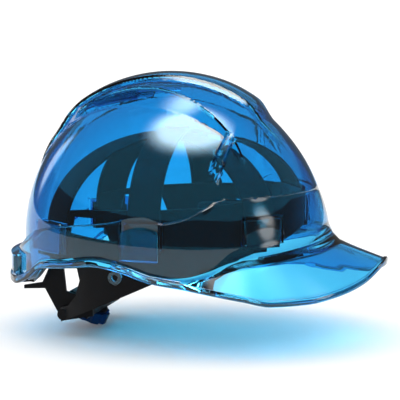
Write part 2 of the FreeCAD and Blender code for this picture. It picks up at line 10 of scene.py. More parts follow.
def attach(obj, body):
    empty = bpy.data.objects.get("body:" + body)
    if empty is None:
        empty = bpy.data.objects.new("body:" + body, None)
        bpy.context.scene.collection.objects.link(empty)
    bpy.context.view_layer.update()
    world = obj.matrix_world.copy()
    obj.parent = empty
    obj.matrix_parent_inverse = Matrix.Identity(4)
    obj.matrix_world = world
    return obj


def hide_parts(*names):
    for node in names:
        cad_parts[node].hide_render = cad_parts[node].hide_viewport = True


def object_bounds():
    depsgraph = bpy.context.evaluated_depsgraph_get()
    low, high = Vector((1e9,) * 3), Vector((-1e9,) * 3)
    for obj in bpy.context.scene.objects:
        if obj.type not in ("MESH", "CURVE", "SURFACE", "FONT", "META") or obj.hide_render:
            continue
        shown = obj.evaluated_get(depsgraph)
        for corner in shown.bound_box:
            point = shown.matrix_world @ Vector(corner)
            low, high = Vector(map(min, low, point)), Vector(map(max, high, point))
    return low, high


bl_info = {
    "name": "Safety Helmet Looks",
    "version": (1, 0, 0),
    "blender": (4, 5, 0),
    "location": "View3D > Sidebar > Helmet",
    "description": "Builds the tinted shell, pads, materials and stage round a helmet's frame",
    "category": "Object",
}

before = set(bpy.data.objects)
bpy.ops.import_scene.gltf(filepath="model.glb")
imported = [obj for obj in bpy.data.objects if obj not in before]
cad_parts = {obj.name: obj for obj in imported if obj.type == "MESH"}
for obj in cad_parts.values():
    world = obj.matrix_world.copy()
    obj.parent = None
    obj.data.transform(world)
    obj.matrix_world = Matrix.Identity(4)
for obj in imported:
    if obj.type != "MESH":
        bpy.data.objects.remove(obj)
CAD_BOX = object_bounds()
MM = 0.001
BODY = "helmet"


# ---- settings ------------------------------------------------------------------------------------
class HelmetShellSettings(bpy.types.PropertyGroup):
    """Sizes of the shell, in millimetres."""
    dome_length: bpy.props.FloatProperty(name="Dome Length", description="Outside, above the rim",
                                         default=231.0)
    dome_width: bpy.props.FloatProperty(name="Dome Width", description="Outside, above the rim",
                                        default=197.0)
    dome_rise: bpy.props.FloatProperty(name="Dome Rise", description="Crown above the widest level",
                                       default=119.0)
    crown_level: bpy.props.FloatProperty(name="Crown Level", description="Plain dome at the crown",
                                         default=106.0)
    dome_lean: bpy.props.FloatProperty(name="Dome Lean", description="How far back the crown stands",
                                       default=3.5)
    wall: bpy.props.FloatProperty(name="Wall", description="Thickness of the shell", default=2.6)
    deck_height: bpy.props.FloatProperty(name="Deck Height", description="Raised deck between ridges",
                                         default=5.0)
    spine_height: bpy.props.FloatProperty(name="Spine Height", description="Spine above the deck",
                                          default=3.0)
    rib_height: bpy.props.FloatProperty(name="Rib Height", description="Rib below each ridge", default=4.0)
    skirt_step: bpy.props.FloatProperty(name="Skirt Step", description="Skirt proud of the dome", default=5.0)
    tint: bpy.props.FloatVectorProperty(name="Tint", description="Colour that one wall lets through",
                                        subtype="COLOR", size=3, default=(0.07, 0.57, 0.90))
    deep_tint: bpy.props.FloatVectorProperty(name="Deep Tint", description="Colour of a wall seen edge on",
                                             subtype="COLOR", size=3, default=(0.002, 0.09, 0.40))


class HelmetHarnessSettings(bpy.types.PropertyGroup):
    """Colours of the harness."""
    plastic: bpy.props.FloatVectorProperty(name="Plastic", description="Moulded harness parts",
                                           subtype="COLOR", size=3, default=(0.002, 0.002, 0.0025))
    knob: bpy.props.FloatVectorProperty(name="Knob", description="Ratchet knob",
                                        subtype="COLOR", size=3, default=(0.003, 0.022, 0.075))
    cloth: bpy.props.FloatVectorProperty(name="Cloth", description="Sweatband and nape pad",
                                         subtype="COLOR", size=3, default=(0.004, 0.004, 0.0045))


# ---- shape of the shell --------------------------------------------------------------------------
# Lengths and levels are in millimetres: X is forward, Y left and Z up.
RING = 320                 # points round the shell
OUTER_ROWS = 118           # rings from the crown to the ledge
INNER_ROWS = 84            # rings inside, from the edge to the crown
SHARP = 40.0               # degrees past which an edge stays crisp

DECK_FRONT = 58.0
DECK_REAR = -92.0
DECK_WAIST = -47.0         # where the deck is narrowest
SPINE_HALF = 15.0
SPINE_FOOT = 1.25 * SPINE_HALF
SPINE_REAR = (-106.0, -88.0)
SPINE_FADE = (30.0, 98.0)
RIDGE_SNAP = 0.95          # how near a ridge line a point is moved onto it
RIB_SNAP = 0.8
RIB_WIDTH = 7.0
RIB_DROP = 33.0

LIP = 2.8                  # thickness of the turned edge
LIP_HEIGHT = 4.6
GUTTER_WALL = 6.0

VENT_MIDDLE = -32.0
BAY_LENGTH = 62.0
BAY_WIDTH = 10.0
BAY_DEPTH = 1.3
SLOT_LENGTH = 58.0
SLOT_WIDTH = 4.5

BLOCK_BASE = -34.0
BLOCK_HEIGHT = 12.5
BLOCK_HALF = 42.0
BLOCK_PROUD = 6.0          # beyond the skirt
BLOCK_SUNK = -1.0          # into the wall, so that the two join
BLOCK_STEPS = 28

POCKET_HALF = 14.0
POCKET_FLOOR = 97.2        # from the middle plane, like the next
POCKET_MOUTH = 101.5
POCKET_LOW = -14.0
POCKET_HIGH = 40.0

KEYS = {38.0: -4.0, 90.0: -6.0, 138.0: -14.0}   # angle from the front: foot of the socket there
SOCKET_DEPTH = 6.4
SOCKET_SUNK = 0.4
SOCKET_HALF = 16.0
SOCKET_HEIGHT = 21.0
KEY_SLOT = (-5.0, -2.4)    # inward from the wall
KEY_SLOT_HALF = 13.8
KEY_SLOT_TOP = 18.6

# Edge of the shell by angle from the front: overhang, level of the underside, level of the wall's foot,
# and the share of the skirt's step.
EDGE = [
    (0.0, 44.5, -24.0, -7.0, 0.0),
    (15.0, 41.2, -34.5, -7.5, 0.0),
    (24.0, 38.0, -39.5, -8.5, 0.0),
    (34.0, 33.0, -43.0, -10.0, 0.0),
    (44.0, 27.5, -43.5, -12.0, 0.0),
    (53.0, 21.5, -39.5, -15.5, 0.1),
    (62.0, 14.5, -36.0, -23.0, 0.6),
    (72.0, 9.0, -32.5, -26.5, 1.0),
    (84.0, 7.4, -29.0, -23.5, 1.0),
    (98.0, 7.2, -21.5, -16.0, 1.0),
    (108.0, 7.2, -19.0, -13.5, 1.0),
    (122.0, 7.2, -22.5, -17.0, 1.0),
    (137.0, 7.4, -26.5, -21.5, 1.0),
    (146.0, 8.5, -36.5, -32.5, 1.0),
    (155.0, 11.5, -42.5, -39.0, 1.0),
    (168.0, 12.0, -43.0, -39.5, 1.0),
    (180.0, 12.0, -43.0, -39.5, 1.0),
]
LEDGE = [(0.0, 30.0), (52.0, 30.0), (62.0, 24.0), (71.0, 17.0), (80.0, 14.0), (88.0, 18.0), (104.0, 12.5),
         (128.0, 6.5), (142.0, 1.0), (156.0, -12.0), (168.0, -19.0), (180.0, -20.0)]


def slope(x0, y0, x1, y1, x2, y2):
    before = (y1 - y0) / (x1 - x0)
    after = (y2 - y1) / (x2 - x1)
    if before * after <= 0:
        return 0.0
    return 2.0 * before * after / (before + after)


def along(table, column, angle):
    """Smooth value of a table's column at an angle, the same on both sides."""
    angle = abs((angle + 180.0) % 360.0 - 180.0)
    first = (-table[1][0],) + tuple(table[1][1:])
    last = (360.0 - table[-2][0],) + tuple(table[-2][1:])
    rows = [first] + list(table) + [last]
    for i in range(1, len(rows) - 2):
        if angle <= rows[i + 1][0]:
            break
    x0, x1, x2, x3 = (rows[i + k][0] for k in (-1, 0, 1, 2))
    y0, y1, y2, y3 = (rows[i + k][column] for k in (-1, 0, 1, 2))
    s1 = slope(x0, y0, x1, y1, x2, y2)
    s2 = slope(x1, y1, x2, y2, x3, y3)
    h = x2 - x1
    t = (angle - x1) / h
    rise = y1 * (1 + 2 * t) * (1 - t) ** 2 + s1 * h * t * (1 - t) ** 2
    return rise + y2 * t * t * (3 - 2 * t) + s2 * h * t * t * (t - 1)


def clamped(share):
    return min(1.0, max(0.0, share))


def smooth(low, high, x):
    t = clamped((x - low) / (high - low))
    return t * t * (3.0 - 2.0 * t)


def polar(angle, r, z):
    return Vector((r * math.cos(math.radians(angle)), r * math.sin(math.radians(angle)), z))


def plan_radius(angle, a, b):
    return 1.0 / math.hypot(math.cos(math.radians(angle)) / a, math.sin(math.radians(angle)) / b)


def deck_edge(x):
    """Half the deck's width: it flares towards the front and closes in at the rear."""
    ahead = max(0.0, (x - DECK_WAIST) / 104.0)
    return 24.0 + 28.0 * ahead ** 1.6 - 14.0 * (1.0 - smooth(DECK_REAR, DECK_WAIST, x))


def deck_foot(x):
    """Where the deck's side wall meets the plain dome."""
    return max(52.0 - 37.0 * (abs(x - 44.0) / 135.0) ** 1.9, deck_edge(x) + 3.0)


def deck_share(x):
    return smooth(DECK_REAR, DECK_REAR + 30.0, x) * (1.0 - smooth(DECK_FRONT, DECK_FRONT + 16.0, x))


def spine_share(x):
    return smooth(*SPINE_REAR, x) * (1.0 - smooth(*SPINE_FADE, x))


class Shell:
    """Plain dome, its ridges and its edge, worked out from the settings."""

    def __init__(self, s):
        self.s = s
        self.a = s.dome_length / 2.0
        self.b = s.dome_width / 2.0
        self.base = s.crown_level - s.dome_rise
        self.rib_corner = deck_edge(DECK_FRONT) - 3.0

    def on_dome(self, x, y, height):
        z = self.s.dome_rise * math.sqrt(max(0.0, 1.0 - (x / self.a) ** 2 - (y / self.b) ** 2))
        n = Vector((x / self.a ** 2, y / self.b ** 2, z / self.s.dome_rise ** 2)).normalized()
        return self.leaned(Vector((x, y, z + self.base))) + n * height

    def leaned(self, p):
        """A place on the upright shell, moved back by its share of the lean."""
        return Vector((p.x - self.s.dome_lean * max(0.0, p.z - self.base) / self.s.dome_rise, p.y, p.z))

    def rib_line(self, side):
        """How far down the rib a place is, and the rib's middle there."""
        run = (side - self.rib_corner) / RIB_DROP
        return run, DECK_FRONT - 1.0 - 9.0 * run

    def snapped(self, x, y):
        """Place on the dome, moved onto a ridge line that it nearly touches, so that ridges stay crisp."""
        side = abs(y)
        for line in (SPINE_HALF, SPINE_FOOT, deck_edge(x), deck_foot(x)):
            if abs(side - line) < RIDGE_SNAP and DECK_REAR - 12.0 < x < SPINE_FADE[1]:
                side = line
                break
        run, middle = self.rib_line(side)
        if 0.0 < run < 1.0:
            for share in (-1.0, -0.5, 0.5, 1.0):
                line = middle + share * RIB_WIDTH / 2.0
                if abs(x - line) < RIB_SNAP:
                    x = line
                    break
        return x, math.copysign(side, y)

    def relief(self, x, y):
        """Height of the ridges above the plain dome."""
        side = abs(y)
        top = deck_edge(x)
        foot = deck_foot(x)
        on_spine = clamped((SPINE_FOOT - side) / (SPINE_FOOT - SPINE_HALF))
        deck = self.s.deck_height * deck_share(x) * clamped((foot - side) / (foot - top))
        spine = self.s.spine_height * spine_share(x) * on_spine
        run, middle = self.rib_line(side)
        rib = 0.0
        if -0.2 < run < 1.0:
            across = abs(x - middle) / (RIB_WIDTH / 2.0)
            rib = self.s.rib_height * clamped(2.0 * (1.0 - across)) * (1.0 - smooth(0.45, 1.0, run))
        return max(deck, rib) + spine

    def share_at(self, level):
        """Share of the way from the crown to the widest level."""
        high = clamped((level - self.base) / self.s.dome_rise)
        return math.acos(high) * 2.0 / math.pi

    def radius_share(self, level):
        """Share of its full radius that the plain dome has at a level."""
        return math.sin(self.share_at(level) * math.pi / 2.0)

    def dome(self, angle, share, drop):
        """Point of the finished dome: drop is 0 outside and the wall's thickness inside."""
        r = plan_radius(angle, self.a, self.b) * math.sin(share * math.pi / 2.0)
        p = polar(angle, r, 0.0)
        x, y = self.snapped(p.x, p.y)
        if (x / self.a) ** 2 + (y / self.b) ** 2 >= 0.999:
            x, y = p.x, p.y
        return self.on_dome(x, y, self.relief(x, y) - drop)

    def edge(self, angle):
        """Section of the edge: outer rows down to the lip and under it, then inner rows up to the wall."""
        under = along(EDGE, 2, angle)
        foot = along(EDGE, 3, angle)
        proud = self.s.skirt_step * along(EDGE, 4, angle)
        ledge = along(LEDGE, 1, angle)
        r_dome = plan_radius(angle, self.a, self.b)
        r_ledge = r_dome * self.radius_share(ledge)
        r_skirt = r_dome + proud
        r_edge = r_dome + along(EDGE, 1, angle)
        rear = smooth(140.0, 153.0, abs((angle + 180.0) % 360.0 - 180.0))
        top = under + LIP_HEIGHT + (GUTTER_WALL - LIP_HEIGHT) * rear
        floor = top - 0.8 - (GUTTER_WALL - self.s.wall - 0.8) * rear
        fillet = 0.16 * (r_edge - r_skirt) + 0.5
        drop = 0.16 * (foot - floor)
        soffit = max(min(floor, top) - self.s.wall, under + 0.3)
        step = [(r_ledge + 0.25 * proud, ledge), (r_ledge + 0.75 * proud, ledge - 0.25),
                (r_ledge + proud, ledge - 0.9)]
        foot_rows = [(r_skirt, foot + fillet + 1.5), (r_skirt + 0.12 * fillet, foot + 0.9 * fillet),
                     (r_skirt + 0.4 * fillet, foot + 0.3 * fillet), (r_skirt + fillet, foot - drop)]
        end = (r_edge - LIP, floor)
        rows = step + between(step[-1], foot_rows[0], 12, bow=self.radius_share)
        rows += foot_rows + between(foot_rows[-1], end, 10)
        rows += [end, (r_edge - LIP + 0.3, top - 0.1), (r_edge - LIP + 0.6, top), (r_edge - 0.5, top - 0.1),
                 (r_edge, top - 0.7), (r_edge, under + 0.7), (r_edge - 0.6, under),
                 (r_edge - LIP + 0.5, under),
                 (r_edge - LIP, under + 0.4 * min(1.0, soffit - under))]
        inner = [(r_edge - LIP - 0.3, soffit)]
        bend = (r_dome - self.s.wall + 0.8 + fillet, foot - drop - self.s.wall)
        inner += between(inner[0], bend, 6)
        inner += [bend, (r_dome - self.s.wall + 0.2 * fillet, foot - self.s.wall - 0.6),
                  (r_dome - self.s.wall, foot - self.s.wall + 1.0)]
        return rows + inner


def between(start, end, count, bow=None):
    """Points spaced evenly between two, without the ends; bow keeps them on the dome's own curve."""
    points = []
    for i in range(1, count):
        t = i / count
        r = start[0] + (end[0] - start[0]) * t
        z = start[1] + (end[1] - start[1]) * t
        if bow is not None:
            low, high = bow(start[1]), bow(end[1])
            share = (bow(z) - low) / (high - low) if high - low > 1e-6 else t
            r = start[0] + (end[0] - start[0]) * share
        points.append((r, z))
    return points


# ---- mesh helpers --------------------------------------------------------------------------------
def finish_mesh(bm, name, sharp=SHARP):
    mesh = bpy.data.meshes.new(name)
    bm.to_mesh(mesh)
    bm.free()
    mesh.shade_smooth()
    mesh.set_sharp_from_angle(angle=math.radians(sharp))
    obj = bpy.data.objects.new(name, mesh)
    bpy.context.scene.collection.objects.link(obj)
    return obj


def add_box(bm, low, high, matrix):
    """Box between two corners, in millimetres, carried by a matrix."""
    made = bmesh.ops.create_cube(bm, size=1.0)
    size = Vector(high) - Vector(low)
    middle = (Vector(high) + Vector(low)) / 2.0
    for vert in made["verts"]:
        place = Vector((vert.co.x * size.x, vert.co.y * size.y, vert.co.z * size.z)) + middle
        vert.co = (matrix @ place) * MM


def boolean(obj, tools):
    """Join or cut an object, by pairs of an operation and a closed tool that is then thrown away."""
    for operation, tool in tools:
        modifier = obj.modifiers.new("tool", "BOOLEAN")
        modifier.operation = operation
        modifier.solver = "MANIFOLD"
        modifier.object = tool
    depsgraph = bpy.context.evaluated_depsgraph_get()
    mesh = bpy.data.meshes.new_from_object(obj.evaluated_get(depsgraph))
    obj.modifiers.clear()
    obj.data = mesh
    for _, tool in tools:
        bpy.data.objects.remove(tool)
    mesh.shade_smooth()
    mesh.set_sharp_from_angle(angle=math.radians(SHARP))


# ---- materials -----------------------------------------------------------------------------------
def new_material(name):
    """A new material, its node tree and its principled shader."""
    material = bpy.data.materials.new(name)
    material.use_nodes = True
    tree = material.node_tree
    shader = tree.nodes["Principled BSDF"]
    return material, tree, shader


def coordinates(tree, scale):
    """Object coordinates times a scale."""
    place = tree.nodes.new("ShaderNodeTexCoord")
    mapping = tree.nodes.new("ShaderNodeMapping")
    mapping.inputs["Scale"].default_value = (scale, scale, scale)
    tree.links.new(place.outputs["Object"], mapping.inputs["Vector"])
    return mapping.outputs["Vector"]


def noise(tree, scale, detail=3.0):
    node = tree.nodes.new("ShaderNodeTexNoise")
    node.inputs["Scale"].default_value = 1.0
    node.inputs["Detail"].default_value = detail
    tree.links.new(coordinates(tree, scale), node.inputs["Vector"])
    return node.outputs["Fac"]


def spread(tree, value, low, high):
    """Noise mapped to a range."""
    node = tree.nodes.new("ShaderNodeMapRange")
    node.inputs["From Min"].default_value = 0.3
    node.inputs["From Max"].default_value = 0.7
    node.inputs["To Min"].default_value = low
    node.inputs["To Max"].default_value = high
    tree.links.new(value, node.inputs["Value"])
    return node.outputs["Result"]


def bump(tree, shader, height, strength, distance):
    node = tree.nodes.new("ShaderNodeBump")
    node.inputs["Strength"].default_value = strength
    node.inputs["Distance"].default_value = distance
    tree.links.new(height, node.inputs["Height"])
    tree.links.new(node.outputs["Normal"], shader.inputs["Normal"])


def tinted_plastic(name, tint, deep):
    """Clear tinted polycarbonate: polished, deeper where it is seen edge on, with faint handling smears."""
    material, tree, shader = new_material(name)
    facing = tree.nodes.new("ShaderNodeLayerWeight")
    facing.inputs["Blend"].default_value = 0.5
    shade = tree.nodes.new("ShaderNodeMixRGB")
    shade.inputs["Color1"].default_value = (*tint, 1.0)
    shade.inputs["Color2"].default_value = (*deep, 1.0)
    tree.links.new(facing.outputs["Facing"], shade.inputs["Fac"])
    tree.links.new(shade.outputs["Color"], shader.inputs["Base Color"])
    shader.inputs["Transmission Weight"].default_value = 1.0
    shader.inputs["IOR"].default_value = 1.5
    tree.links.new(spread(tree, noise(tree, 18.0), 0.0, 0.03), shader.inputs["Roughness"])
    bump(tree, shader, noise(tree, 9.0, 1.0), 0.12, 0.0006)
    return material


def moulded_plastic(name, colour, roughness=0.42, grain=900.0):
    """Matt moulded plastic with a fine spark-eroded grain."""
    material, tree, shader = new_material(name)
    shade = tree.nodes.new("ShaderNodeMixRGB")
    shade.inputs["Color1"].default_value = (*colour, 1.0)
    shade.inputs["Color2"].default_value = (*(1.8 * c + 0.0005 for c in colour), 1.0)
    tree.links.new(noise(tree, 40.0), shade.inputs["Fac"])
    tree.links.new(shade.outputs["Color"], shader.inputs["Base Color"])
    shader.inputs["Specular IOR Level"].default_value = 0.1
    polish = spread(tree, noise(tree, 60.0), roughness - 0.06, roughness + 0.08)
    tree.links.new(polish, shader.inputs["Roughness"])
    bump(tree, shader, noise(tree, grain, 2.0), 0.25, 0.0002)
    return material


def towelling(name, colour):
    """Looped cloth over foam."""
    material, tree, shader = new_material(name)
    shade = tree.nodes.new("ShaderNodeMixRGB")
    shade.inputs["Color1"].default_value = (*colour, 1.0)
    shade.inputs["Color2"].default_value = (*(2.2 * c for c in colour), 1.0)
    tree.links.new(noise(tree, 700.0), shade.inputs["Fac"])
    tree.links.new(shade.outputs["Color"], shader.inputs["Base Color"])
    shader.inputs["Roughness"].default_value = 0.95
    shader.inputs["Sheen Weight"].default_value = 0.4
    shader.inputs["Sheen Roughness"].default_value = 0.5
    loops = tree.nodes.new("ShaderNodeTexVoronoi")
    loops.inputs["Scale"].default_value = 1.0
    tree.links.new(coordinates(tree, 900.0), loops.inputs["Vector"])
    bump(tree, shader, loops.outputs["Distance"], 0.6, 0.0008)
    return material


def metal(name, colour):
    material, tree, shader = new_material(name)
    shader.inputs["Base Color"].default_value = (*colour, 1.0)
    shader.inputs["Metallic"].default_value = 1.0
    tree.links.new(spread(tree, noise(tree, 300.0), 0.22, 0.38), shader.inputs["Roughness"])
    return material


def dress(node, material):
    """Give a frame node a material in all its slots."""
    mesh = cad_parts[node].data
    mesh.materials.clear()
    mesh.materials.append(material)


# ---- pieces --------------------------------------------------------------------------------------
def shell_skin(shell):
    """Closed skin of the shell: one ring, extruded from the crown down, under the lip and back up."""
    bm = bmesh.new()
    turn = bm.verts.layers.float.new("turn")
    bmesh.ops.create_circle(bm, cap_ends=False, radius=0.001, segments=RING)
    bm.verts.ensure_lookup_table()
    for vert in bm.verts:
        vert[turn] = math.degrees(math.atan2(vert.co.y, vert.co.x))
    angles = sorted({round(v[turn], 5) for v in bm.verts})
    sections = {angle: shell.edge(angle) for angle in angles}
    ledges = {angle: shell.share_at(along(LEDGE, 1, angle)) for angle in angles}
    edge_count = len(sections[angles[0]])
    rows = []
    for k in range(1, OUTER_ROWS + 1):
        rows.append(lambda t, k=k: shell.dome(t, k / OUTER_ROWS * ledges[t], 0.0))
    for k in range(edge_count):
        rows.append(lambda t, k=k: shell.leaned(polar(t, *sections[t][k])))
    for k in range(INNER_ROWS, 0, -1):
        rows.append(lambda t, k=k: shell.dome(t, k / INNER_ROWS, shell.s.wall))
    edges = list(bm.edges)
    for vert in bm.verts:
        vert.co = rows[0](round(vert[turn], 5)) * MM
    first = edges
    for row in rows[1:]:
        made = bmesh.ops.extrude_edge_only(bm, edges=edges)["geom"]
        verts = [item for item in made if isinstance(item, bmesh.types.BMVert)]
        edges = [item for item in made if isinstance(item, bmesh.types.BMEdge)]
        for vert in verts:
            vert.co = row(round(vert[turn], 5)) * MM
        ring = set(verts)
        edges = [edge for edge in edges if all(vert in ring for vert in edge.verts)]
    for loop in (first, edges):
        cap = bmesh.ops.edgeloop_fill(bm, edges=loop)["faces"]
        bmesh.ops.poke(bm, faces=cap)
    bmesh.ops.recalc_face_normals(bm, faces=bm.faces)
    return finish_mesh(bm, "shell_skin")


def turned_box(low, high, place=Vector(), turn=Matrix()):
    """Closed box in millimetres with softened edges, turned and then placed."""
    bm = bmesh.new()
    add_box(bm, low, high, Matrix.Translation(place) @ turn)
    bmesh.ops.bevel(bm, geom=list(bm.edges), offset=0.0004, offset_type="OFFSET", segments=2, profile=0.5,
                    affect="EDGES", material=-1)
    bmesh.ops.recalc_face_normals(bm, faces=bm.faces)
    return finish_mesh(bm, "tool")


def vent_tools(shell, side):
    """Shallow bay along the outer wall of a ridge, with a slot through its floor."""
    def on_wall(x, share):
        y = side * (deck_edge(x) + (deck_foot(x) - deck_edge(x)) * share)
        return shell.on_dome(x, y, shell.s.deck_height * deck_share(x) * (1.0 - share))

    along_ridge = (on_wall(VENT_MIDDLE + 24.0, 0.5) - on_wall(VENT_MIDDLE - 24.0, 0.5)).normalized()
    up_wall = on_wall(VENT_MIDDLE, 0.1) - on_wall(VENT_MIDDLE, 0.9)
    out = (along_ridge.cross(up_wall) * -side).normalized()
    if out.z < 0.0:
        out.negate()
    up_wall = out.cross(along_ridge).normalized()
    turn = Matrix((along_ridge, out, up_wall)).transposed().to_4x4()
    place = on_wall(VENT_MIDDLE, 0.5)
    half = BAY_LENGTH / 2.0
    bay = turned_box((-half, -BAY_DEPTH, -BAY_WIDTH / 2.0), (half, 6.0, BAY_WIDTH / 2.0), place, turn)
    half = SLOT_LENGTH / 2.0
    slot = turned_box((-half, -9.0, -SLOT_WIDTH / 2.0), (half, 4.0, SLOT_WIDTH / 2.0), place, turn)
    return [("DIFFERENCE", bay), ("DIFFERENCE", slot)]


def block_tool(shell):
    """Raised block that follows the back of the skirt."""
    proud = shell.s.skirt_step + BLOCK_PROUD
    top = BLOCK_BASE + BLOCK_HEIGHT
    reach = math.degrees(math.asin(BLOCK_HALF / (shell.b + proud))) * 1.04
    start = 180.0 - reach
    end = 180.0 + reach

    def place(angle, step, level):
        return polar(angle, plan_radius(angle, shell.a + step, shell.b + step), level) * MM

    bm = bmesh.new()
    made = bmesh.ops.create_grid(bm, x_segments=1, y_segments=1, size=0.5)
    corners = ((BLOCK_SUNK, BLOCK_BASE), (proud, BLOCK_BASE), (BLOCK_SUNK, top), (proud, top))
    for vert, (step, level) in zip(made["verts"], corners):
        vert.co = place(start, step, level)
    faces = list(bm.faces)
    last = start
    for i in range(1, BLOCK_STEPS + 1):
        angle = start + (end - start) * i / BLOCK_STEPS
        out = bmesh.ops.extrude_face_region(bm, geom=faces)["geom"]
        if i > 1:
            bmesh.ops.delete(bm, geom=faces, context="FACES_ONLY")
        faces = [item for item in out if isinstance(item, bmesh.types.BMFace)]
        between_faces = plan_radius(last, shell.a + 2.0, shell.b + 2.0)
        for vert in (item for item in out if isinstance(item, bmesh.types.BMVert)):
            step = BLOCK_SUNK if vert.co.xy.length / MM < between_faces else proud
            level = BLOCK_BASE if vert.co.z < (BLOCK_BASE + BLOCK_HEIGHT / 2.0) * MM else top
            vert.co = place(angle, step, level)
        last = angle
    bmesh.ops.recalc_face_normals(bm, faces=bm.faces)
    return finish_mesh(bm, "tool")


def key_frame(shell, angle, side):
    """Place on the inner wall at a strap key, and the direction in which the wall faces there."""
    a = shell.a - shell.s.wall
    b = shell.b - shell.s.wall
    p = polar(angle, plan_radius(angle, a, b), 0.0)
    facing = math.degrees(math.atan2(p.y / b ** 2, p.x / a ** 2))
    return Vector((p.x, side * p.y, 0.0)), side * facing


def socket_tools(shell):
    """Sockets on the inner wall that the strap keys plug into: six blocks, then their slots."""
    blocks = []
    slots = []
    for angle, base in KEYS.items():
        for side in (-1.0, 1.0):
            place, facing = key_frame(shell, angle, side)
            turn = Matrix.Rotation(math.radians(facing), 4, "Z")
            block = turned_box((-SOCKET_DEPTH, -SOCKET_HALF, base),
                               (SOCKET_SUNK, SOCKET_HALF, base + SOCKET_HEIGHT), place, turn)
            slot = turned_box((KEY_SLOT[0], -KEY_SLOT_HALF, base - 1.0),
                              (KEY_SLOT[1], KEY_SLOT_HALF, base + KEY_SLOT_TOP), place, turn)
            blocks.append(("UNION", block))
            slots.append(("DIFFERENCE", slot))
    return blocks + slots


def shell_tools(shell):
    """Everything that is joined to the skin or cut out of it, in order."""
    tools = socket_tools(shell)
    tools.append(("UNION", block_tool(shell)))
    for side in (-1.0, 1.0):
        tools += vent_tools(shell, side)
        low, high = sorted((side * POCKET_FLOOR, side * POCKET_MOUTH))
        pocket = turned_box((-POCKET_HALF, low, POCKET_LOW), (POCKET_HALF, high, POCKET_HIGH))
        tools.append(("DIFFERENCE", pocket))
    return tools


class HELMET_OT_shell(bpy.types.Operator):
    """Build the tinted shell with its ridges, vents, pockets and sockets"""
    bl_idname = "helmet.shell"
    bl_label = "Shell"

    def execute(self, context):
        settings = context.scene.helmet_shell
        shell = Shell(settings)
        skin = shell_skin(shell)
        boolean(skin, shell_tools(shell))
        skin.data.materials.clear()
        clear = tinted_plastic("tinted polycarbonate", settings.tint, settings.deep_tint)
        skin.data.materials.append(clear)
        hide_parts("shell")
        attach(skin, BODY)
        for side in ("left", "right"):
            ring = tinted_plastic("tinted ring " + side, settings.tint, settings.deep_tint)
            dress("chinstrap_anchor_" + side, ring)
        return {"FINISHED"}


class HELMET_OT_harness(bpy.types.Operator):
    """Finish the cradle, headband, keys and nape yoke"""
    bl_idname = "helmet.harness"
    bl_label = "Harness"

    def execute(self, context):
        settings = context.scene.helmet_harness
        plastic = moulded_plastic("harness plastic", settings.plastic)
        soft = moulded_plastic("cradle plastic", settings.plastic, roughness=0.5)
        studs = moulded_plastic("stud plastic", settings.plastic, roughness=0.3)
        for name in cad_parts:
            if name.startswith(("headband", "strap_key", "band_hanger", "nape_yoke", "ratchet_housing")):
                dress(name, plastic)
            if name.startswith("cradle_strap"):
                dress(name, soft)
            if name in ("yoke_studs", "crown_button"):
                dress(name, studs)
        return {"FINISHED"}


class HELMET_OT_ratchet(bpy.types.Operator):
    """Finish the knob, its screw, the pinion, the racks and the detent ring"""
    bl_idname = "helmet.ratchet"
    bl_label = "Ratchet"

    def execute(self, context):
        settings = context.scene.helmet_harness
        dress("ratchet_knob", moulded_plastic("knob plastic", settings.knob, roughness=0.16, grain=300.0))
        gear = moulded_plastic("gear plastic", settings.plastic, roughness=0.35)
        for name in ("ratchet_pinion", "ratchet_rack_left", "ratchet_rack_right"):
            dress(name, gear)
        for name in ("knob_screw", "detent_ring"):
            dress(name, metal("plated steel " + name, (0.55, 0.56, 0.58)))
        return {"FINISHED"}


# Metres, apart from the pressure and the frames.
PAD_VOXEL = 0.0016
PAD_THIN = 0.0004
PAD_CAP = 0.0012
PAD_PRESSURE = 4.0
PAD_FRAMES = 20


class HELMET_OT_pads(bpy.types.Operator):
    """Puff the sweatband and the nape pad"""
    bl_idname = "helmet.pads"
    bl_label = "Pads"

    def execute(self, context):
        cloth = context.scene.helmet_harness.cloth
        for node, slot in (("brow_sweatband", "sweatband_towelling"), ("nape_pad", "nape_foam")):
            pad = puffed(node, node + "_cloth")
            pad.data.materials.append(towelling(node + " towelling", cloth))
            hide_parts(node)
            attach(pad, BODY)
        return {"FINISHED"}


def puffed(node, name):
    """Pad blown up from an evenly remeshed, slightly thinned copy of a frame node."""
    bm = bmesh.new()
    bm.from_mesh(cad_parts[node].data)
    bmesh.ops.remove_doubles(bm, verts=bm.verts, dist=0.00001)
    bmesh.ops.recalc_face_normals(bm, faces=bm.faces)
    obj = finish_mesh(bm, name, sharp=180.0)
    remesh = obj.modifiers.new("even", "REMESH")
    remesh.mode = "VOXEL"
    remesh.voxel_size = PAD_VOXEL
    thin = obj.modifiers.new("thin", "DISPLACE")
    thin.mid_level = 0.0
    thin.strength = -PAD_THIN
    apply_modifiers(obj)
    blow_up(obj)
    rounded = obj.modifiers.new("rounded", "SMOOTH")
    rounded.factor = 0.5
    rounded.iterations = 3
    apply_modifiers(obj)
    return obj


def apply_modifiers(obj):
    """Make the modifiers' result the object's own mesh."""
    depsgraph = bpy.context.evaluated_depsgraph_get()
    mesh = bpy.data.meshes.new_from_object(obj.evaluated_get(depsgraph))
    obj.modifiers.clear()
    obj.data = mesh
    mesh.shade_smooth()


def blow_up(obj):
    """Cloth under pressure, with no point moving further than the cap."""
    start = [vert.co.copy() for vert in obj.data.vertices]
    cloth = obj.modifiers.new("puff", "CLOTH")
    cloth.settings.use_pressure = True
    cloth.settings.uniform_pressure_force = PAD_PRESSURE
    cloth.settings.effector_weights.gravity = 0.0
    cloth.settings.quality = 4
    scene = bpy.context.scene
    for number in range(1, PAD_FRAMES + 1):
        scene.frame_set(number)
    apply_modifiers(obj)
    scene.frame_set(1)
    for vert, place in zip(obj.data.vertices, start):
        step = vert.co - place
        if step.length > PAD_CAP:
            vert.co = place + step * (PAD_CAP / step.length)


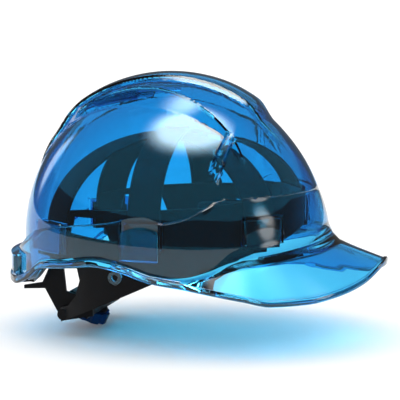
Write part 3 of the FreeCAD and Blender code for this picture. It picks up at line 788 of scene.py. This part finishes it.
# ---- stage, in metres ----------------------------------------------------------------------------
LIGHT_TARGET = (0.0, 0.0, 0.02)
SUN_STRENGTH = 3.8
SUN_ANGLE = 150.0
WORLD_STRENGTH = 0.14

# Name, place, width, height and power of each softbox.
SOFTBOXES = (
    ("overhead softbox", (0.15, -0.15, 1.25), 1.7, 1.3, 60.0),
    ("front softbox", (1.2, -0.4, 0.28), 0.55, 0.75, 4.0),
    ("rear softbox", (-1.2, 0.6, 0.4), 0.4, 0.9, 1.6),
)

CAMERA_AZIMUTH = 15.0
CAMERA_ELEVATION = 8.0
CAMERA_DISTANCE = 1.6
CAMERA_TARGET = (0.018, 0.0, 0.0176)
VIEW_WIDTH = 0.300


class HELMET_OT_stage(bpy.types.Operator):
    """Set the floor, the lights and the camera"""
    bl_idname = "helmet.stage"
    bl_label = "Stage"

    def execute(self, context):
        make_floor()
        make_world()
        make_lights()
        make_camera()
        return {"FINISHED"}


def make_floor():
    bm = bmesh.new()
    bmesh.ops.create_grid(bm, x_segments=1, y_segments=1, size=6.0)
    level = CAD_BOX[0][2] - 0.0015
    bmesh.ops.translate(bm, verts=bm.verts, vec=(0.0, 0.0, level))
    floor = finish_mesh(bm, "floor")
    material, _, shader = new_material("pale floor")
    shader.inputs["Base Color"].default_value = (0.93, 0.93, 0.93, 1.0)
    shader.inputs["Roughness"].default_value = 0.9
    floor.data.materials.append(material)


def make_world():
    bpy.context.scene.view_settings.view_transform = "Standard"
    world = bpy.data.worlds.new("studio")
    world.use_nodes = True
    background = world.node_tree.nodes["Background"]
    background.inputs["Color"].default_value = (1.0, 1.0, 1.0, 1.0)
    background.inputs["Strength"].default_value = WORLD_STRENGTH
    bpy.context.scene.world = world


def softbox(name, place, width, height, power):
    """Rectangle of light that shows in reflections and adds nothing to matt surfaces."""
    light = bpy.data.lights.new(name, "AREA")
    light.shape = "RECTANGLE"
    light.size = width
    light.size_y = height
    light.energy = power
    soften(light)
    obj = bpy.data.objects.new(name, light)
    bpy.context.scene.collection.objects.link(obj)
    obj.visible_diffuse = False
    obj.location = place
    obj.rotation_euler = (Vector(LIGHT_TARGET) - Vector(place)).to_track_quat("-Z", "Y").to_euler()


def soften(light):
    """Fade a softbox towards its edges, so that its reflection has no hard outline."""
    light.use_nodes = True
    tree = light.node_tree
    emission = next(node for node in tree.nodes if node.type == "EMISSION")
    place = tree.nodes.new("ShaderNodeNewGeometry")
    middle = tree.nodes.new("ShaderNodeMapping")
    middle.inputs["Location"].default_value = (-1.0, -1.0, 0.0)
    middle.inputs["Scale"].default_value = (2.0, 2.0, 0.0)
    fade = tree.nodes.new("ShaderNodeTexGradient")
    fade.gradient_type = "QUADRATIC_SPHERE"
    reach = tree.nodes.new("ShaderNodeMapRange")
    reach.interpolation_type = "SMOOTHSTEP"
    reach.inputs["From Max"].default_value = 0.35
    reach.inputs["To Max"].default_value = 1.6
    tree.links.new(place.outputs["Parametric"], middle.inputs["Vector"])
    tree.links.new(middle.outputs["Vector"], fade.inputs["Vector"])
    tree.links.new(fade.outputs["Fac"], reach.inputs["Value"])
    tree.links.new(reach.outputs["Result"], emission.inputs["Strength"])


def make_lights():
    """A broad light that reflections don't show, and the softboxes that they do."""
    sun = bpy.data.lights.new("broad light", "SUN")
    sun.energy = SUN_STRENGTH
    sun.angle = math.radians(SUN_ANGLE)
    broad = bpy.data.objects.new("broad light", sun)
    bpy.context.scene.collection.objects.link(broad)
    broad.visible_glossy = False
    for values in SOFTBOXES:
        softbox(*values)


def make_camera():
    azimuth = math.radians(CAMERA_AZIMUTH)
    elevation = math.radians(CAMERA_ELEVATION)
    toward = Vector((math.sin(azimuth) * math.cos(elevation), -math.cos(azimuth) * math.cos(elevation),
                     math.sin(elevation)))
    camera = bpy.data.cameras.new("camera")
    camera.lens = camera.sensor_width * CAMERA_DISTANCE / VIEW_WIDTH
    obj = bpy.data.objects.new("camera", camera)
    bpy.context.scene.collection.objects.link(obj)
    obj.location = Vector(CAMERA_TARGET) + toward * CAMERA_DISTANCE
    obj.rotation_euler = (-toward).to_track_quat("-Z", "Y").to_euler()
    bpy.context.scene.camera = obj


# ---- panel and running ---------------------------------------------------------------------------
OPERATORS = (HELMET_OT_stage, HELMET_OT_shell, HELMET_OT_harness, HELMET_OT_ratchet, HELMET_OT_pads)


class HELMET_PT_panel(bpy.types.Panel):
    """Lists the helmet's settings and pieces"""
    bl_idname = "HELMET_PT_panel"
    bl_label = "Helmet"
    bl_space_type = "VIEW_3D"
    bl_region_type = "UI"
    bl_category = "Helmet"

    def draw(self, context):
        for settings in (context.scene.helmet_shell, context.scene.helmet_harness):
            for name in settings.__annotations__:
                self.layout.prop(settings, name)
        for operator in OPERATORS:
            self.layout.operator(operator.bl_idname)


CLASSES = (HelmetShellSettings, HelmetHarnessSettings) + OPERATORS + (HELMET_PT_panel,)


def register():
    for cls in CLASSES:
        bpy.utils.register_class(cls)
    bpy.types.Scene.helmet_shell = bpy.props.PointerProperty(type=HelmetShellSettings)
    bpy.types.Scene.helmet_harness = bpy.props.PointerProperty(type=HelmetHarnessSettings)


def unregister():
    del bpy.types.Scene.helmet_harness
    del bpy.types.Scene.helmet_shell
    for cls in reversed(CLASSES):
        bpy.utils.unregister_class(cls)


def main():
    register()
    bpy.ops.helmet.stage()
    bpy.ops.helmet.shell()
    bpy.ops.helmet.harness()
    bpy.ops.helmet.ratchet()
    bpy.ops.helmet.pads()


if __name__ == "__main__":
    main()
